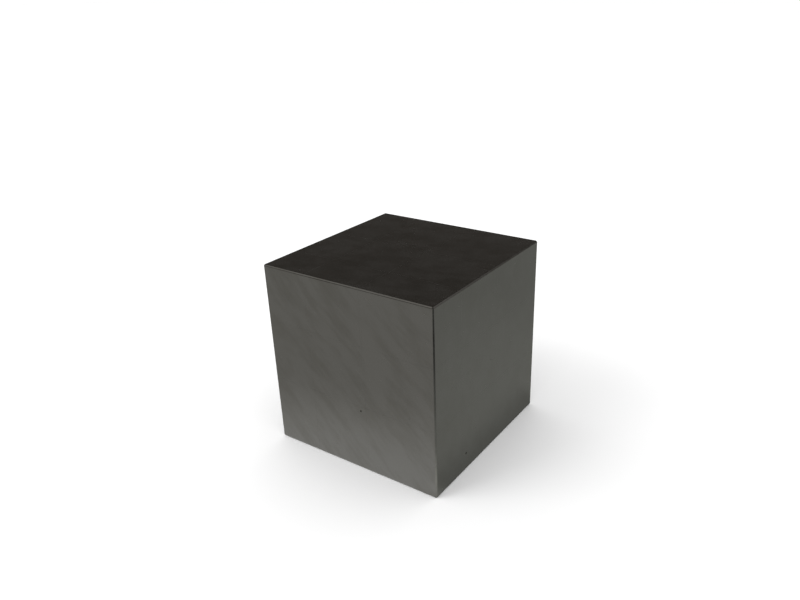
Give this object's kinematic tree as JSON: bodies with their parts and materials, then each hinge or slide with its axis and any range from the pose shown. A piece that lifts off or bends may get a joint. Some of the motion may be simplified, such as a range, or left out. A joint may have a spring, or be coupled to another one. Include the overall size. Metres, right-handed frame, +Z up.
{
  "type": "mirror block cube puzzle",
  "caption": "Twisting cube puzzle in bare polished steel: layers of unequal thickness make a plain cube with hairline cuts; the top and bottom layers turn.",
  "frame": {"origin": "middle of the underside of the cube", "axes": "+Z up, -Y towards the front (the face seen on the left in the usual view), +X to the right"},
  "size_m": [0.057, 0.057, 0.057],
  "materials": {
    "polished_steel": "satin mirror polish with fine wipe marks",
    "ground_steel": "ground",
    "brass_core": "turned",
    "screw_steel": "dark oiled steel",
    "washer_steel": "stamped",
    "spring_steel": "drawn wire"
  },
  "bodies": {
    "middle_layer": {"core": "brass_core", "screw_top": "screw_steel", "washer_top": "washer_steel", "spring_top": "spring_steel", "screw_bottom": "screw_steel", "washer_bottom": "washer_steel", "spring_bottom": "spring_steel", "centre_block_front": "polished_steel", "centre_stem_front": "ground_steel", "screw_front": "screw_steel", "washer_front": "washer_steel", "spring_front": "spring_steel", "centre_block_back": "polished_steel", "centre_stem_back": "ground_steel", "screw_back": "screw_steel", "washer_back": "washer_steel", "spring_back": "spring_steel", "centre_block_left": "polished_steel", "centre_stem_left": "ground_steel", "screw_left": "screw_steel", "washer_left": "washer_steel", "spring_left": "spring_steel", "centre_block_right": "polished_steel", "centre_stem_right": "ground_steel", "screw_right": "screw_steel", "washer_right": "washer_steel", "spring_right": "spring_steel", "edge_front_left": "polished_steel", "edge_front_right": "polished_steel", "edge_back_left": "polished_steel", "edge_back_right": "polished_steel"},
    "top_layer": {"centre_block_top": "polished_steel", "centre_stem_top": "ground_steel", "edge_top_front": "polished_steel", "edge_top_back": "polished_steel", "edge_top_left": "polished_steel", "edge_top_right": "polished_steel", "corner_top_front_left": "polished_steel", "corner_top_front_right": "polished_steel", "corner_top_back_left": "polished_steel", "corner_top_back_right": "polished_steel"},
    "bottom_layer": {"centre_block_bottom": "polished_steel", "centre_stem_bottom": "ground_steel", "edge_bottom_front": "polished_steel", "edge_bottom_back": "polished_steel", "edge_bottom_left": "polished_steel", "edge_bottom_right": "polished_steel", "corner_bottom_front_left": "polished_steel", "corner_bottom_front_right": "polished_steel", "corner_bottom_back_left": "polished_steel", "corner_bottom_back_right": "polished_steel"}
  },
  "joints": [
    {"name": "top_layer_turn", "type": "hinge", "parent": "middle_layer", "child": "top_layer", "pos_m": [-0.004, -0.006, 0.0485], "axis": [0, 0, 1], "continuous": true},
    {"name": "bottom_layer_turn", "type": "hinge", "parent": "middle_layer", "child": "bottom_layer", "pos_m": [-0.004, -0.006, 0.0105], "axis": [0, 0, 1], "continuous": true}
  ]
}
